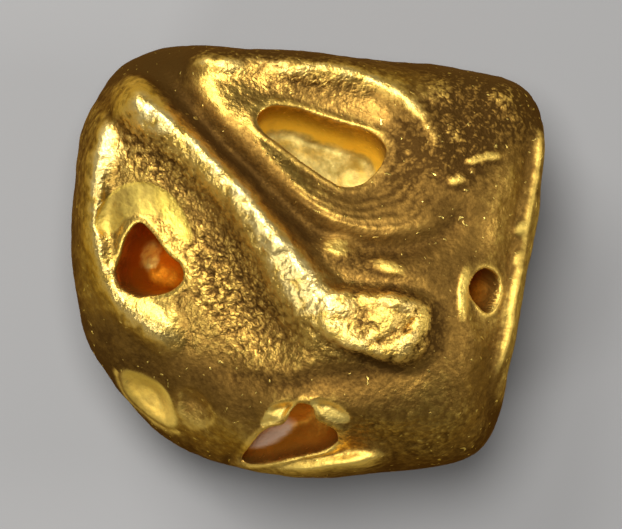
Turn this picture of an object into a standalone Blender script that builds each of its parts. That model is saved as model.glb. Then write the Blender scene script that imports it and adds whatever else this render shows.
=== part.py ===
"""A water-worn gold nugget, 12 mm long, 10.9 mm across and 8 mm high.

The nugget lies on its one flat worn face. Its body is a block whose worn faces run into each other in
round edges. On the upper side are a knotty ridge that ends in a knob, a dish with a raised rim, a
groove between the two, and smaller troughs, ribs, pockets and lumps. Four hollows go into the metal.

Sizes and places below are in millimetres, measured from the middle of the block, X along its length
and Z up. The mesh is in metres.
"""
import math

import bmesh
import bpy
import numpy as np

MM = 0.001

# the block
BASE_DEPTH = 2.9           # from the middle down to the flat face it lies on
ROUNDING = 10              # higher makes sharper edges between the worn faces
WORN_FACES = (             # azimuth and elevation of each face in degrees, distance from the middle
    (-10, 0, 5.6), (17, 0, 9.4), (85, 0, 5.3), (150, 0, 7.7),
    (180, 0, 6.3), (232, 0, 6.1), (277, 0, 5.6), (337, 0, 9.0),
    (0, 90, 4.3), (62, 68, 4.4), (208, 60, 4.3), (-6, 34, 5.6), (268, 38, 5.3),
    (229, 34, 5.0), (176, 26, 6.5), (86, 22, 6.2), (40, 30, 7.5), (140, 34, 6.5),
    (0, -90, 3.05), (30, -38, 6.3), (110, -42, 5.9), (190, -35, 5.5), (265, -40, 5.0), (320, -32, 6.4),
    (10, -56, 4.4), (75, -54, 4.3), (140, -55, 4.5), (205, -53, 4.2), (270, -54, 4.1), (325, -55, 4.5),
)
LUMP_SIZES = ((2.4, 0.10), (1.1, 0.045))   # spacing and height of the uneven lumps all over
FACING_UP = (-0.12, 0.14)   # the skin's upward lean over which the upper side's shapes fade in

# shapes that follow a path over the upper side: x, y, height, half-width
RIDGE = (
    (-4.80, 4.62, 0.00, 0.34), (-4.38, 4.22, 1.05, 0.42), (-4.00, 3.88, 0.78, 0.42),
    (-3.50, 3.42, 0.48, 0.42), (-3.00, 3.00, 0.42, 0.41), (-2.40, 2.42, 0.44, 0.40),
    (-1.80, 1.85, 0.46, 0.42),
    (-1.20, 1.05, 0.50, 0.46), (-0.75, 0.40, 0.56, 0.52), (-0.25, -0.35, 0.58, 0.58),
    (0.35, -1.05, 0.52, 0.64), (1.00, -1.45, 0.38, 0.68), (1.60, -1.60, 0.00, 0.70),
)
SHOULDER = (
    (-4.98, 4.05, 0.00, 0.40), (-5.22, 3.30, 0.60, 0.43), (-5.38, 2.60, 0.64, 0.43),
    (-5.44, 1.70, 0.52, 0.38), (-5.36, 0.75, 0.38, 0.31), (-5.18, 0.00, 0.32, 0.27),
    (-4.90, -0.75, 0.30, 0.28), (-4.35, -1.35, 0.36, 0.34), (-3.75, -1.80, 0.30, 0.38),
    (-3.05, -2.15, 0.00, 0.38),
)
VALLEY = (
    (-4.20, 3.40, 0.00, 0.70), (-3.45, 2.15, 0.25, 0.86), (-2.70, 0.95, 0.38, 0.92),
    (-2.00, -0.30, 0.45, 0.96), (-1.15, -1.60, 0.42, 0.92), (-0.10, -2.25, 0.00, 0.66),
)
GROOVE = (
    (-4.00, 5.45, 0.00, 0.34), (-3.40, 4.55, 0.34, 0.36), (-2.50, 3.32, 0.38, 0.36),
    (-1.86, 2.64, 0.38, 0.36), (-0.90, 1.72, 0.38, 0.37), (0.10, 0.85, 0.36, 0.36),
    (1.00, 0.45, 0.34, 0.34), (1.85, 0.30, 0.32, 0.32), (2.75, 0.42, 0.28, 0.32),
    (3.50, 0.85, 0.18, 0.30), (4.05, 1.60, 0.00, 0.28),
)
CREASE = (
    (-2.90, -2.15, 0.00, 0.24), (-2.10, -2.60, 0.08, 0.30), (-1.25, -2.88, 0.11, 0.32),
    (-0.45, -2.95, 0.12, 0.32), (0.55, -2.80, 0.12, 0.32), (1.55, -2.70, 0.11, 0.32),
    (2.45, -2.75, 0.08, 0.32), (3.20, -2.70, 0.00, 0.30),
)
COLLAR = (
    (-5.12, 0.62, 0.00, 0.30), (-5.03, 0.92, 0.09, 0.34), (-4.82, 1.28, 0.10, 0.38),
    (-4.45, 1.54, 0.10, 0.42), (-4.02, 1.58, 0.10, 0.43), (-3.58, 1.40, 0.09, 0.38),
    (-3.24, 1.05, 0.07, 0.30), (-2.98, 0.58, 0.05, 0.24), (-2.88, 0.10, 0.00, 0.20),
)
HOOD = (
    (-1.70, -4.00, 0.00, 0.30), (-1.05, -3.70, 0.10, 0.42), (-0.25, -3.55, 0.14, 0.46),
    (0.80, -3.55, 0.14, 0.46), (1.70, -3.75, 0.10, 0.42), (2.40, -4.10, 0.00, 0.30),
)
SILL = (
    (-2.10, -5.05, 0.00, 0.20), (-1.60, -5.22, 0.50, 0.24), (-0.60, -5.28, 0.70, 0.27),
    (0.40, -5.15, 0.80, 0.27), (1.30, -5.02, 0.80, 0.27), (2.15, -4.90, 0.00, 0.24),
)
RIB = (
    (5.85, 3.70, 0.00, 0.26), (5.98, 2.90, 0.80, 0.28), (5.88, 1.90, 0.90, 0.30),
    (5.66, 0.40, 1.30, 0.33), (5.45, -0.80, 1.50, 0.35), (5.26, -1.90, 1.45, 0.34),
    (5.05, -2.90, 1.20, 0.32), (4.75, -3.90, 0.00, 0.28),
)
RIM = (
    (-3.15, 5.00, 0.00, 0.40), (-2.60, 5.22, 0.62, 0.46), (-1.90, 5.29, 0.80, 0.50),
    (-0.75, 5.22, 0.82, 0.48), (0.55, 5.03, 0.62, 0.46), (1.55, 4.75, 0.42, 0.44),
    (2.45, 4.12, 0.30, 0.40), (3.12, 3.15, 0.18, 0.34), (3.45, 2.20, 0.00, 0.28),
)
RIDGE_SPREAD = 1.5         # how much wider the ridge's left flank is than its right one
BELL, FLAT_TOPPED = 2, 3   # how square a fold's profile is

# closed outlines on the upper side, each with its middle: x, y
DISH = (
    (-3.15, 4.85), (-1.95, 5.20), (-0.70, 5.15), (0.55, 4.95), (1.80, 4.60), (2.70, 4.00),
    (3.30, 3.20), (3.55, 2.40), (3.35, 1.65), (2.70, 1.00), (1.80, 0.75), (0.95, 0.90),
    (0.05, 1.30), (-0.80, 1.92), (-1.75, 2.74), (-2.62, 3.85),
)
DISH_MIDDLE = (0.55, 2.85)
DISH_DEPTH = 0.34
DISH_DEEPENS = (-1.7, 0.3)  # its floor sinks between these places along X, and is level west of them
KNOB = (
    (-0.05, -0.90), (0.60, -0.52), (1.55, -0.60), (2.40, -0.68), (3.00, -0.95), (3.18, -1.65),
    (3.02, -2.30), (2.45, -2.62), (1.62, -2.42), (0.70, -2.10), (0.10, -1.70),
)
KNOB_MIDDLE = (1.45, -1.50)
KNOB_HEIGHT = 0.46
POCKETS = {                # depth at the middle, and how much deeper per mm east and north
    "west": {
        "outline": (
            (-4.66, -2.68), (-4.20, -2.76), (-3.75, -2.98), (-3.50, -3.25), (-3.36, -3.60),
            (-3.26, -3.95), (-3.32, -4.18), (-3.62, -4.12), (-4.10, -3.80), (-4.52, -3.40),
            (-4.72, -2.98),
        ),
        "middle": (-3.95, -3.40), "depth": (0.38, 0.60, 0.70),
    },
    "side": {
        "outline": (
            (-3.20, -3.10), (-2.70, -3.20), (-2.30, -3.70), (-2.35, -4.10), (-2.80, -4.25),
            (-3.10, -4.15), (-3.30, -3.75),
        ),
        "middle": (-2.80, -3.70), "depth": (0.18, 0.20, 0.30),
    },
    "left_lens": {
        "outline": (
            (-1.20, -4.05), (-1.00, -3.62), (-0.66, -3.45), (-0.28, -3.45), (-0.40, -3.68),
            (-0.72, -3.96), (-1.02, -4.08),
        ),
        "middle": (-0.74, -3.72), "depth": (0.12, 0.40, 0.75),
    },
    "right_lens": {
        "outline": (
            (0.04, -3.42), (0.42, -3.38), (0.84, -3.56), (1.08, -3.84), (0.98, -4.00),
            (0.72, -3.99), (0.40, -3.84), (0.16, -3.66),
        ),
        "middle": (0.55, -3.68), "depth": (0.12, 0.20, 0.75),
    },
    "spoon": {
        "outline": (
            (3.76, -0.63), (3.88, -0.30), (4.19, -0.05), (4.60, 0.00), (4.92, -0.36), (5.00, -0.87),
            (4.98, -1.42), (4.78, -1.98), (4.44, -2.08), (4.10, -1.75), (3.86, -1.25),
        ),
        "middle": (4.40, -1.00), "depth": (0.14, -0.45, 0.0),
    },
}

# single lumps and one dent on the upper side: x, y, half-length, half-width, turn in degrees, height
LUMPS = (
    (0.75, 0.40, 0.38, 0.25, -10, 0.18), (2.00, -0.10, 0.43, 0.17, -20, 0.14),
    (3.25, 4.25, 0.43, 0.30, 0, 0.17), (4.90, 4.20, 0.35, 0.40, -60, 0.17),
    (3.55, 3.30, 0.20, 0.35, 20, 0.10), (4.15, 2.55, 0.20, 0.12, 15, 0.10),
    (4.55, 2.65, 0.25, 0.12, 5, 0.12), (3.70, 2.05, 0.20, 0.14, 10, 0.10),
    (5.30, 0.85, 0.18, 0.13, 60, 0.10), (5.25, 0.10, 0.20, 0.13, 60, 0.08),
    (3.88, -0.72, 0.60, 0.15, 86, 0.15), (1.84, -1.42, 0.35, 0.24, 20, 0.10),
    (2.86, -1.45, 0.15, 0.42, -8, 0.14), (2.50, -1.60, 0.24, 0.11, 60, -0.16),
    (-4.02, -1.14, 0.42, 0.20, -35, 0.12), (-3.55, -1.35, 0.30, 0.45, 20, 0.08),
    (0.80, -1.75, 0.60, 0.16, -25, 0.08),
)
KNOTS = (                  # bulges along the ridge: x, y, half-length, half-width, turn, height
    (-4.22, 4.05, 0.34, 0.22, -60, 0.12), (-3.58, 3.50, 0.30, 0.26, -30, 0.13),
    (-2.67, 2.90, 0.32, 0.22, -45, 0.11), (-2.25, 2.42, 0.26, 0.22, -20, 0.10),
    (-1.61, 1.80, 0.34, 0.24, -50, 0.12), (-1.20, 1.12, 0.34, 0.26, -60, 0.11),
    (-0.74, 0.50, 0.30, 0.30, -40, 0.10), (-0.10, -0.20, 0.44, 0.30, -65, 0.09),
    (2.30, -0.98, 0.40, 0.16, -8, 0.15), (1.30, -2.08, 0.50, 0.14, -14, 0.13),
    (2.52, -1.75, 0.16, 0.36, -20, 0.12), (1.75, -1.75, 0.34, 0.12, 30, 0.10),
)

# dents on the sides and underneath: azimuth, elevation, radius, depth
DENTS = (
    (95, -18, 1.6, 0.30), (60, -50, 1.3, 0.26), (200, -30, 1.7, 0.34), (300, -28, 1.5, 0.32),
    (350, -20, 1.2, 0.24), (250, -12, 1.0, 0.18), (140, -8, 1.1, 0.20),
)

# the hollows: outline and middle of the mouth, direction inwards, depth, how much the wall bulges
# behind the mouth, and the height and width of the raised lip
EYE = {
    "outline": (
        (-1.25, 3.60), (-1.00, 3.85), (-0.65, 3.90), (-0.15, 3.80), (0.45, 3.60), (1.10, 3.40),
        (1.65, 3.20), (1.95, 2.85), (1.85, 2.45), (1.55, 2.10), (1.20, 1.90), (0.80, 1.90),
        (0.45, 2.10), (0.00, 2.40), (-0.60, 2.85), (-1.10, 3.25),
    ),
    "middle": (0.45, 2.85), "inwards": (-0.10, -0.42, -1.0), "depth": 1.5, "bulge": 0.18,
    "lip": (0.05, 0.10),
}
LEFT_HOLLOW = {
    "outline": (
        (-4.20, 1.00), (-3.85, 0.72), (-3.50, 0.25), (-3.15, -0.05), (-3.08, -0.40), (-3.30, -0.65),
        (-3.70, -0.80), (-4.25, -0.82), (-4.65, -0.60), (-4.78, -0.25), (-4.68, 0.15), (-4.52, 0.65),
    ),
    "middle": (-3.98, -0.10), "inwards": (0.45, 0.10, -1.0), "depth": 1.9, "bulge": 0.25,
    "lip": (0.04, 0.12),
}
RIGHT_HOLLOW = {
    "outline": (
        (4.45, -0.15), (4.70, -0.30), (4.80, -0.65), (4.70, -1.05), (4.45, -1.25), (4.20, -1.05),
        (4.00, -0.70), (4.10, -0.40), (4.25, -0.20),
    ),
    "middle": (4.40, -0.70), "inwards": (-0.80, 0.05, -0.6), "depth": 1.6, "bulge": 0.25,
    "lip": (0.03, 0.12),
}
LOWER_HOLLOW = {
    "outline": (
        (-0.20, -3.49), (0.10, -3.57), (0.25, -3.92), (0.68, -4.17), (0.73, -4.47), (0.35, -4.70),
        (-0.20, -4.82), (-0.83, -4.98), (-1.42, -5.06), (-1.65, -4.92), (-1.46, -4.60),
        (-1.08, -4.17), (-0.60, -4.00), (-0.42, -3.67),
    ),
    "middle": (-0.38, -4.35), "inwards": (0.12, 0.55, -0.8), "depth": 1.3, "bulge": 0.15,
    "lip": (0.08, 0.12),
}
HOLLOWS = {"eye": EYE, "left": LEFT_HOLLOW, "right": RIGHT_HOLLOW, "lower": LOWER_HOLLOW}

# the mesh
GRID_CUTS = 60             # cuts across each side of the fine starting grid
TRIANGLES = 7200           # what the body keeps of them
CURVE_STEPS = 8            # points on a curve between two given ones
MOUTH_POINTS = 28          # points round a hollow
HOLLOW_LEVELS = (1.0, 0.97, 0.9, 0.78, 0.6, 0.4, 0.2)
MOUTH_REACH = 0.6          # how far a cutter stands out of the metal


def smooth_step(low, high, value):
    """0 below low, 1 above high, and a smooth rise between"""
    share = np.clip((value - low) / (high - low), 0, 1)
    return share * share * (3 - 2 * share)


def curve(points, closed=False):
    """A smooth curve through rows of numbers, each stretch a cubic that takes its ends' slopes
    from the points on either side."""
    rows = np.array(points, float)
    if closed:
        rows = np.vstack([rows[-1], rows, rows[:2]])
    else:
        rows = np.vstack([2 * rows[0] - rows[1], rows, 2 * rows[-1] - rows[-2]])
    before, start, end, after = (rows[i:len(rows) - 3 + i, None] for i in range(4))
    t = (np.arange(CURVE_STEPS) / CURVE_STEPS)[None, :, None]
    places = 0.5 * (2 * start + (end - before) * t + (2 * before - 5 * start + 4 * end - after) * t ** 2
                    + (3 * start - before - 3 * end + after) * t ** 3)
    places = places.reshape(-1, rows.shape[1])
    return places if closed else np.vstack([places, rows[-2]])


def mouth_share(plan, outline, middle):
    """How far out a place lies: 0 at the outline's middle, 1 on the outline, more outside it"""
    around = curve(outline, closed=True) - middle
    angle = np.arctan2(around[:, 1], around[:, 0])
    offset = plan - middle
    reach = np.interp(np.arctan2(offset[:, 1], offset[:, 0]), angle, np.hypot(*around.T), period=math.tau)
    return np.hypot(*offset.T) / reach


def fold(plan, path, left_spread=1.0, squareness=BELL):
    """Height that follows a path and falls away from it on both sides"""
    line = curve(path)
    nearest = np.full(len(plan), np.inf)
    height, width, side = np.zeros((3, len(plan)))
    for start, end in zip(line[:-1], line[1:]):
        run = end[:2] - start[:2]
        offset = plan - start[:2]
        share = np.clip(offset @ run / (run @ run), 0, 1)
        away = np.hypot(*(offset - share[:, None] * run).T)
        closer = away < nearest
        nearest[closer] = away[closer]
        height[closer] = (start[2] + share * (end[2] - start[2]))[closer]
        width[closer] = (start[3] + share * (end[3] - start[3]))[closer]
        side[closer] = (run[0] * offset[:, 1] - run[1] * offset[:, 0])[closer]
    width[side < 0] *= left_spread
    return height * np.exp(-(nearest / width) ** squareness)


def lump(plan, x, y, half_length, half_width, turn, height):
    """Height of one flat-topped oval lump"""
    offset = plan - (x, y)
    turn = math.radians(turn)
    along = offset @ (math.cos(turn), math.sin(turn))
    across = offset @ (-math.sin(turn), math.cos(turn))
    return height * np.exp(-((along / half_length) ** 2 + (across / half_width) ** 2) ** 1.3)


def pocket(plan, hollow):
    """Depth of a pocket whose floor is more level than the slope it lies in"""
    at_middle, *deeper = hollow["depth"]
    inside = 1 - smooth_step(0.35, 1.05, mouth_share(plan, hollow["outline"], hollow["middle"]))
    return inside * np.maximum(at_middle + (plan - hollow["middle"]) @ deeper, 0)


def relief(plan):
    """Height that the ridge, dish, grooves, pockets and lumps add to the upper side"""
    knob = KNOB_HEIGHT * (1 - smooth_step(0.60, 1.14, mouth_share(plan, KNOB, KNOB_MIDDLE)))
    height = (fold(plan, RIDGE, RIDGE_SPREAD, FLAT_TOPPED) ** 3 + knob ** 3) ** (1 / 3)
    height += fold(plan, RIM) + fold(plan, SHOULDER) - fold(plan, VALLEY)
    height += fold(plan, HOOD) + fold(plan, SILL) + fold(plan, RIB)
    height -= fold(plan, GROOVE) + fold(plan, CREASE) + fold(plan, COLLAR, squareness=FLAT_TOPPED)
    out = mouth_share(plan, DISH, DISH_MIDDLE)
    height -= DISH_DEPTH * (1 - smooth_step(0.35, 1.02, out)) * smooth_step(*DISH_DEEPENS, plan[:, 0])
    height -= sum(pocket(plan, hollow) for hollow in POCKETS.values())
    for hollow in HOLLOWS.values():
        lip, band = hollow["lip"]
        out = mouth_share(plan, hollow["outline"], hollow["middle"])
        height += lip * np.exp(-((out - 1 - band) / band) ** 2)
    return height + sum(lump(plan, *row) for row in LUMPS + KNOTS)


def unit(azimuth, elevation):
    """The direction of an azimuth and elevation in degrees"""
    azimuth, elevation = np.radians(azimuth), np.radians(elevation)
    level = np.cos(elevation)
    return np.stack([level * np.cos(azimuth), level * np.sin(azimuth), np.sin(elevation)], -1)


AZIMUTH, ELEVATION, DISTANCE = np.array(WORN_FACES, float).T
FACE_PULL = unit(AZIMUTH, ELEVATION) / DISTANCE[:, None]


def block_level(places):
    """1 on the block's skin, less inside it: a high-power sum over its worn faces of how near each is"""
    return (np.maximum(places @ FACE_PULL.T, 0) ** ROUNDING).sum(-1) ** (1 / ROUNDING)


def block_lean(places):
    """The skin's direction outwards"""
    pull = np.maximum(places @ FACE_PULL.T, 0) ** (ROUNDING - 1) @ FACE_PULL
    return pull / np.linalg.norm(pull, axis=-1, keepdims=True)


def uneven(places, spacing, seed):
    """Soft random lumps between -1 and 1: random slopes on a lattice, blended smoothly between"""
    cell = np.floor(places / spacing).astype(np.int64)
    inside = places / spacing - cell
    blend = inside ** 3 * (inside * (inside * 6 - 15) + 10)
    slopes = np.random.default_rng(seed).uniform(-1, 1, (16, 16, 16, 3))
    total = np.zeros(len(places))
    for corner in np.ndindex(2, 2, 2):
        slope = slopes[tuple(((cell + corner) % 16).T)]
        weight = np.prod(np.where(corner, blend, 1 - blend), axis=1)
        total += weight * ((inside - corner) * slope).sum(1)
    return total * 1.6


def worn_skin(directions):
    """Places on the nugget's skin, without its hollows, in the given directions from the middle"""
    places = directions / block_level(directions)[:, None]
    lean = block_lean(places)
    out = sum(height * uneven(places, spacing, seed) for seed, (spacing, height) in enumerate(LUMP_SIZES))
    for azimuth, elevation, radius, depth in DENTS:
        toward = unit(azimuth, elevation)
        heart = toward / block_level(toward)
        out = out - depth * np.exp(-(((places - heart) ** 2).sum(1) / radius ** 2) ** 1.5)
    places = places + lean * out[:, None]
    places[:, 2] += relief(places[:, :2]) * smooth_step(*FACING_UP, lean[:, 2])
    return places


def skin_height(plan):
    """Height of the upper skin over places in plan: the block's, found by halving, and its relief"""
    low, high = np.zeros(len(plan)), np.full(len(plan), 6.0)
    for _ in range(30):
        guess = (low + high) / 2
        outside = block_level(np.column_stack([plan, guess])) > 1
        low, high = np.where(outside, low, guess), np.where(outside, guess, high)
    lean = block_lean(np.column_stack([plan, low]))
    return low + relief(plan) * smooth_step(*FACING_UP, lean[:, 2])


def metal(name, colour, roughness):
    material = bpy.data.materials.new(name)
    material.use_nodes = True
    shader = material.node_tree.nodes["Principled BSDF"]
    shader.inputs["Base Color"].default_value = (*colour, 1)
    shader.inputs["Roughness"].default_value = roughness
    shader.inputs["Metallic"].default_value = 1
    return material


def add_object(name, mesh):
    """Turns a bmesh into an object in the scene"""
    data = bpy.data.meshes.new(name)
    mesh.to_mesh(data)
    mesh.free()
    made = bpy.data.objects.new(name, data)
    bpy.context.collection.objects.link(made)
    return made


def nugget_body():
    """The solid body: a fine cube grid blown out to the worn skin, then thinned to fewer faces"""
    mesh = bmesh.new()
    bmesh.ops.create_cube(mesh, size=2)
    bmesh.ops.subdivide_edges(mesh, edges=mesh.edges, cuts=GRID_CUTS, use_grid_fill=True)
    grid = np.tan(np.array([vert.co for vert in mesh.verts]) * math.pi / 4)
    directions = grid / np.linalg.norm(grid, axis=1)[:, None]
    for vert, place in zip(mesh.verts, worn_skin(directions) + (0, 0, BASE_DEPTH)):
        vert.co = place * MM
    full = 2 * len(mesh.faces)
    body = add_object("nugget", mesh)
    body.data.shade_smooth()
    body.data.materials.append(metal("gold", (0.68, 0.41, 0.11), 0.4))
    thin = body.modifiers.new("fewer faces", "DECIMATE")
    thin.ratio = TRIANGLES / full
    return body


def ring(hollow, level):
    """Places round a hollow at one level: 1 at the mouth, towards 0 at the floor. The wall bulges
    behind the mouth and then draws in as the square root of the level, to a round floor."""
    middle = np.array(hollow["middle"])
    around = curve(hollow["outline"], closed=True)
    pick = np.linspace(0, len(around), MOUTH_POINTS, endpoint=False).astype(int)
    plan = around[pick]
    rim = np.column_stack([plan, skin_height(plan)])
    heart = np.array([*middle, skin_height(middle[None])[0]])
    inwards = np.array(hollow["inwards"]) / np.linalg.norm(hollow["inwards"])
    width = math.sqrt(level) * (1 + hollow["bulge"] * math.sin(math.pi * level))
    depth = hollow["depth"] * (1 - level ** 2.5) * (0.35 + 0.65 * smooth_step(0, 0.1, 1 - level))
    return heart + (rim - heart) * width + inwards * depth, inwards


def hollow_cutter(name, hollow):
    """The closed shape that a hollow takes out of the body: rings bridged from outside the mouth
    to the floor, with a face on either end"""
    mesh = bmesh.new()
    mouth, inwards = ring(hollow, 1.0)
    levels = [mouth - MOUTH_REACH * inwards] + [ring(hollow, level)[0] for level in HOLLOW_LEVELS]
    loops = []
    for places in levels:
        verts = [mesh.verts.new((place + (0, 0, BASE_DEPTH)) * MM) for place in places]
        edges = [mesh.edges.new((verts[i - 1], vert)) for i, vert in enumerate(verts)]
        loops.append((verts, edges))
    for (_, upper), (_, lower) in zip(loops[:-1], loops[1:]):
        bmesh.ops.bridge_loops(mesh, edges=upper + lower)
    mesh.faces.new(loops[0][0])
    mesh.faces.new(loops[-1][0])
    bmesh.ops.recalc_face_normals(mesh, faces=mesh.faces)
    return as_cutter(add_object(name + " cutter", mesh))


def ground_cutter():
    """A slab under the nugget that leaves its worn flat at height 0"""
    mesh = bmesh.new()
    bmesh.ops.create_cube(mesh, size=20 * MM)
    bmesh.ops.translate(mesh, verts=mesh.verts, vec=(0, 0, -10 * MM))
    return as_cutter(add_object("ground cutter", mesh))


def as_cutter(cutter):
    cutter.hide_render = True
    cutter.display_type = "WIRE"
    return cutter


def cut(body, cutter):
    """Takes a cutter's shape out of the body"""
    boolean = body.modifiers.new(cutter.name, "BOOLEAN")
    boolean.operation = "DIFFERENCE"
    boolean.solver = "EXACT"
    boolean.object = cutter


def main():
    for old in list(bpy.data.objects):
        bpy.data.objects.remove(old)
    body = nugget_body()
    cut(body, ground_cutter())
    for name, hollow in HOLLOWS.items():
        cut(body, hollow_cutter(name, hollow))


main()
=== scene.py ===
# %% [markdown]
# # A gold nugget, modelled as numbers
#
# The real thing is one piece of native gold, 12 mm long, that a river has rolled until its edges went
# round. It lies on a pale table and the camera looks straight down on it. This lesson builds it as one
# closed surface: a block with worn faces, then the ridge, dish, grooves and pockets on its upper side,
# then the four hollows, then the grain of the metal. Each step moves the same grid of points by a
# formula, so a step can be changed without touching the others.
#
# The solid model that carries the collision is loaded first, as a fixed frame. Everything here is in
# metres in that frame, and the sizes below are in millimetres, from the middle of the block.

import math
from types import SimpleNamespace

import bpy
import numpy as np
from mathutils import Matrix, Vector


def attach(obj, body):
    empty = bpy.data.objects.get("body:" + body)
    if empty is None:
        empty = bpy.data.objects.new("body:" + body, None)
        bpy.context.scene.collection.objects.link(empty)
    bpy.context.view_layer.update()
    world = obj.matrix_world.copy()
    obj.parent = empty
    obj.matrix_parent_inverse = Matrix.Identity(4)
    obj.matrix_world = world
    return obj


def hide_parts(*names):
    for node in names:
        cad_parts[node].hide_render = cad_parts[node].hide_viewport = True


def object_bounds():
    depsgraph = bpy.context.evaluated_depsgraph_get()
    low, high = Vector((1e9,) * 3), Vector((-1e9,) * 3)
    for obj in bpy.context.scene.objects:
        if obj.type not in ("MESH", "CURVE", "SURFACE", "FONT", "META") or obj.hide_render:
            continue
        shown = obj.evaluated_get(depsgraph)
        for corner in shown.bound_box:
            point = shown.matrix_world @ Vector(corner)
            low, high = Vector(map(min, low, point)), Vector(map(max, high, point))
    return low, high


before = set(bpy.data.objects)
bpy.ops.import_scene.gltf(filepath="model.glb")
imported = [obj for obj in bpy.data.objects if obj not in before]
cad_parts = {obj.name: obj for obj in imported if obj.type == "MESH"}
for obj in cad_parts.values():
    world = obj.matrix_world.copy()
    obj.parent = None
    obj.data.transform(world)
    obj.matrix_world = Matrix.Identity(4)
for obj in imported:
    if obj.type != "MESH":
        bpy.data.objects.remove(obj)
cad_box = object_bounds()
MM = 0.001
size = [round((high - low) / MM, 2) for low, high in zip(*cad_box)]
print("solid, mm:", size)

# %% [markdown]
# ## The block and its worn faces
#
# A pebble's shape can be sculpted by hand, grown from a noisy ball, or built from the flats that wear
# has left. The flats are used here, because they can be read off a picture one by one. Each is a
# direction and a distance. A place's nearness to a flat is the dot product of the two, divided by that
# distance, so it is 1 on the flat. Taking only the largest nearness gives a sharp-edged crystal. A
# high-power sum of all of them rounds its edges, and the power sets how tight they are.

# %% The block's worn faces
BASE_DEPTH = 2.9           # from the middle down to the flat face it lies on
ROUNDING = 10              # higher makes sharper edges between the worn faces
WORN_FACES = (             # azimuth and elevation of each face in degrees, distance from the middle
    (-10, 0, 5.6), (17, 0, 9.4), (85, 0, 5.3), (150, 0, 7.7),
    (180, 0, 6.3), (232, 0, 6.1), (277, 0, 5.6), (337, 0, 9.0),
    (0, 90, 4.3), (62, 68, 4.4), (208, 60, 4.3), (-6, 34, 5.6), (268, 38, 5.3),
    (229, 34, 5.0), (176, 26, 6.5), (86, 22, 6.2), (40, 30, 7.5), (140, 34, 6.5),
    (0, -90, 3.05), (30, -38, 6.3), (110, -42, 5.9), (190, -35, 5.5), (265, -40, 5.0), (320, -32, 6.4),
    (10, -56, 4.4), (75, -54, 4.3), (140, -55, 4.5), (205, -53, 4.2), (270, -54, 4.1), (325, -55, 4.5),
)


def unit(azimuth, elevation):
    """The direction of an azimuth and elevation in degrees: east, north and up shares"""
    azimuth, elevation = np.radians(azimuth), np.radians(elevation)
    level = np.cos(elevation)
    return np.stack([level * np.cos(azimuth), level * np.sin(azimuth), np.sin(elevation)], -1)


AZIMUTH, ELEVATION, DISTANCE = np.array(WORN_FACES, float).T
FACE_PULL = unit(AZIMUTH, ELEVATION) / DISTANCE[:, None]


def block_level(places):
    """The tenth root of the sum of every nearness to the tenth power: 1 on the skin, less inside"""
    return (np.maximum(places @ FACE_PULL.T, 0) ** ROUNDING).sum(-1) ** (1 / ROUNDING)


def block_lean(places):
    """The skin's direction outwards: each flat's pull, weighted by its nearness to the ninth power"""
    pull = np.maximum(places @ FACE_PULL.T, 0) ** (ROUNDING - 1) @ FACE_PULL
    return pull / np.linalg.norm(pull, axis=-1, keepdims=True)


print("worn faces:", len(WORN_FACES))

# %% [markdown]
# ## A grid that closes on itself
#
# A ball made of rings has two poles, where its faces shrink to slivers and any grain would bunch up.
# A cube blown up to a ball has none. Each of its six sides is a square grid in two parameters, and the
# tangent of an angle spaces them so that the cells come out nearly alike. The seams are closed by
# giving points in the same place the same number. The directions are then pushed a little upwards,
# which moves points from the plain underside to the side with all the detail.

# %% The grid of directions
GRID = 128                 # cells along each side of the cube
UPWARD = 0.26              # how far the directions are pushed towards the upper side


def blown_cube(cells):
    """Directions on six square grids (u, v), each the tangent of an angle from -45 to 45 degrees"""
    angle = np.linspace(-math.pi / 4, math.pi / 4, cells + 1)
    u, v = np.meshgrid(np.tan(angle), np.tan(angle), indexing="ij")
    one = np.ones_like(u)
    sides = [(u, v, one), (v, u, -one), (one, u, v), (-one, v, u), (v, one, u), (u, -one, v)]
    places = np.concatenate([np.stack(side, -1).reshape(-1, 3) for side in sides])
    number = np.arange((cells + 1) ** 2).reshape(cells + 1, cells + 1)
    square = np.stack([number[:-1, :-1], number[1:, :-1], number[1:, 1:], number[:-1, 1:]], -1)
    faces = np.concatenate([square.reshape(-1, 4) + side * number.size for side in range(6)])
    places = places / np.linalg.norm(places, axis=1)[:, None]
    _, first, same = np.unique(places.round(6), axis=0, return_index=True, return_inverse=True)
    return places[first], same.reshape(-1)[faces]


directions, faces = blown_cube(GRID)
directions = directions + (0, 0, UPWARD)
directions /= np.linalg.norm(directions, axis=1)[:, None]
print("points:", len(directions), "faces:", len(faces))

# %% [markdown]
# ## Three tools for the relief
#
# The upper side's shapes are of three kinds. A *fold* follows a path, like a ridge or a groove. A
# *patch* fills a closed outline, like the dish. A *lump* is a small oval. Each could be a mesh of its own
# joined on with a Boolean, but a worn nugget has no such seams. Here all three only say how high the
# skin rises or sinks at a place in plan, so they can be added up and run into each other. Paths and
# outlines are drawn with few points and a smooth curve between them.

# %% Curves, folds, patches and lumps
CURVE_STEPS = 8            # points on a curve between two given ones
BELL, FLAT_TOPPED = 2, 3   # how square a fold's profile is


def smooth_step(low, high, value):
    """0 below low, 1 above high, and between them three times the share squared less twice its cube"""
    share = np.clip((value - low) / (high - low), 0, 1)
    return share * share * (3 - 2 * share)


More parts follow.
